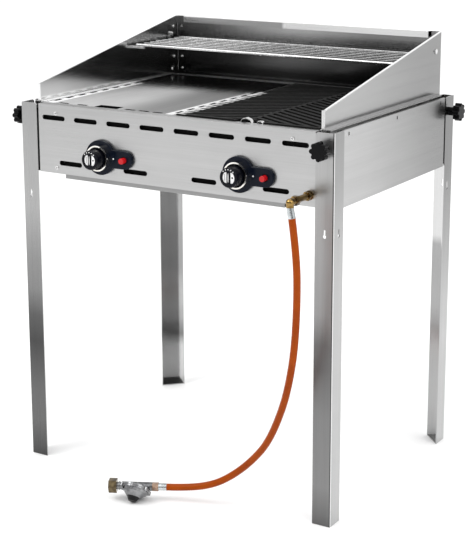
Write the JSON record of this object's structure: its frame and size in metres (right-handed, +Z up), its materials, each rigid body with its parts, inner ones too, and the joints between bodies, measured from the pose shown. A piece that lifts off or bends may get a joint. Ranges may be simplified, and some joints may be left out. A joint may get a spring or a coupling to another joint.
{
  "type": "charbroiler grill",
  "caption": "Free-standing stainless gas grill on angle legs with a flat griddle plate, a ribbed grate, a wind guard with warming rack, knobs with igniters, and a hose with regulator",
  "frame": {"origin": "middle of the outline without hose and regulator, on the floor", "axes": "+Z up, -Y towards the cook, +X to the cook's right"},
  "size_m": [0.796, 0.6995, 0.9185],
  "materials": {
    "stainless": "satin stainless sheet, fine vertical grain",
    "stainless_polished": "polished stainless sheet",
    "griddle_steel": "polished steel plate",
    "chrome_wire": "bright plated wire",
    "grate_iron": "seasoned dark cast iron",
    "black_plastic": "black moulded plastic",
    "bezel_plastic": "dark moulded plastic, slightly glossy",
    "collar_metal": "bright turned metal ring",
    "red_plastic": "red push button",
    "brass": "turned brass",
    "zinc": "zinc die casting",
    "plated_steel": "zinc plated steel",
    "burner_steel": "bare burner steel",
    "hose_rubber": "orange-red gas hose",
    "shield_black": "blackened sheet and posts inside the joints",
    "cap_plastic": "dark plastic cap"
  },
  "bodies": {
    "housing": {"front_panel": "stainless", "back_panel": "stainless", "side_panel_left": "stainless", "side_panel_right": "stainless", "corner_posts": "shield_black", "heat_shield": "shield_black", "weld_nuts": "plated_steel", "leg_front_left": "stainless_polished", "leg_front_right": "stainless_polished", "leg_back_right": "stainless_polished", "leg_back_left": "stainless_polished", "hob_frame": "stainless", "control_bezels": "bezel_plastic", "control_collars": "collar_metal", "gas_valves": "brass", "gas_injectors": "brass", "piezo_igniters": "black_plastic", "gas_manifold": "plated_steel", "burner_tubes": "burner_steel", "flame_tamers": "burner_steel", "ignition_leads": "plated_steel", "thermocouples": "plated_steel", "cross_rails": "stainless", "burner_saddles": "burner_steel", "tamer_props": "burner_steel", "tray_runners": "stainless", "panel_screws": "plated_steel", "inlet_stub": "brass", "inlet_nut": "brass", "inlet_elbow": "brass", "ferrule_inlet": "plated_steel", "ferrule_regulator": "plated_steel", "hose": "hose_rubber", "regulator_hose_nut": "brass", "regulator_body": "zinc", "regulator_neck": "brass", "regulator_cap": "cap_plastic"},
    "drip_tray": {"drip_tray": "stainless", "tray_front_strip": "stainless"},
    "griddle_plate": {"griddle_plate": "griddle_steel"},
    "grill_grate": {"grill_grate": "grate_iron", "grate_lift_strip": "plated_steel"},
    "wind_guard": {"wind_guard_right": "stainless_polished", "wind_guard_left": "stainless_polished", "wind_guard_back": "stainless_polished", "guard_bolts": "plated_steel", "rack_pegs": "plated_steel"},
    "warming_rack": {"warming_rack": "chrome_wire"},
    "valve_left": {"valve_stem_left": "plated_steel"},
    "valve_right": {"valve_stem_right": "plated_steel"},
    "knob_left": {"control_knob_left": "black_plastic"},
    "knob_right": {"control_knob_right": "black_plastic"},
    "button_left": {"igniter_button_left": "red_plastic"},
    "button_right": {"igniter_button_right": "red_plastic"},
    "star_fl": {"star_knob_fl": "black_plastic"},
    "star_fr": {"star_knob_fr": "black_plastic"},
    "star_br": {"star_knob_br": "black_plastic"},
    "star_bl": {"star_knob_bl": "black_plastic"},
    "union_nut": {"regulator_union_nut": "brass"}
  },
  "joints": [
    {"name": "drip_tray_slide", "type": "slide", "parent": "housing", "child": "drip_tray", "axis": [0, -1, 0], "range_m": [0, 0.4]},
    {"name": "griddle_plate_lift", "type": "slide", "parent": "housing", "child": "griddle_plate", "axis": [0, 0, 1], "range_m": [0, 0.06]},
    {"name": "grill_grate_lift", "type": "slide", "parent": "housing", "child": "grill_grate", "axis": [0, 0, 1], "range_m": [0, 0.06]},
    {"name": "wind_guard_lift", "type": "slide", "parent": "housing", "child": "wind_guard", "axis": [0, 0, 1], "range_m": [0, 0.12]},
    {"name": "warming_rack_lift", "type": "slide", "parent": "wind_guard", "child": "warming_rack", "axis": [0, 0, 1], "range_m": [0, 0.03]},
    {"name": "valve_push_left", "type": "slide", "parent": "housing", "child": "valve_left", "axis": [0, 1, 0], "range_m": [0, 0.004], "stiffness_N_per_m": 400},
    {"name": "control_knob_left_turn", "type": "hinge", "parent": "valve_left", "child": "knob_left", "pos_m": [-0.1647, -0.2735, 0.684], "axis": [0, -1, 0], "range_deg": [0, 210]},
    {"name": "igniter_button_left_push", "type": "slide", "parent": "housing", "child": "button_left", "axis": [0, 1, 0], "range_m": [0, 0.005], "stiffness_N_per_m": 600},
    {"name": "valve_push_right", "type": "slide", "parent": "housing", "child": "valve_right", "axis": [0, 1, 0], "range_m": [0, 0.004], "stiffness_N_per_m": 400},
    {"name": "control_knob_right_turn", "type": "hinge", "parent": "valve_right", "child": "knob_right", "pos_m": [0.1647, -0.2735, 0.684], "axis": [0, -1, 0], "range_deg": [0, 210]},
    {"name": "igniter_button_right_push", "type": "slide", "parent": "housing", "child": "button_right", "axis": [0, 1, 0], "range_m": [0, 0.005], "stiffness_N_per_m": 600},
    {"name": "star_knob_fl_turn", "type": "hinge", "parent": "housing", "child": "star_fl", "pos_m": [-0.37, -0.2255, 0.75], "axis": [-1, 0, 0], "continuous": true},
    {"name": "star_knob_fr_turn", "type": "hinge", "parent": "housing", "child": "star_fr", "pos_m": [0.35, -0.2455, 0.75], "axis": [0, -1, 0], "continuous": true},
    {"name": "star_knob_br_turn", "type": "hinge", "parent": "housing", "child": "star_br", "pos_m": [0.37, 0.2785, 0.75], "axis": [1, 0, 0], "continuous": true},
    {"name": "star_knob_bl_turn", "type": "hinge", "parent": "housing", "child": "star_bl", "pos_m": [-0.35, 0.2985, 0.75], "axis": [0, 1, 0], "continuous": true},
    {"name": "union_nut_turn", "type": "hinge", "parent": "housing", "child": "union_nut", "pos_m": [-0.07119, -0.35609, 0.03], "axis": [-0.8926, -0.4508, 0], "continuous": true}
  ]
}
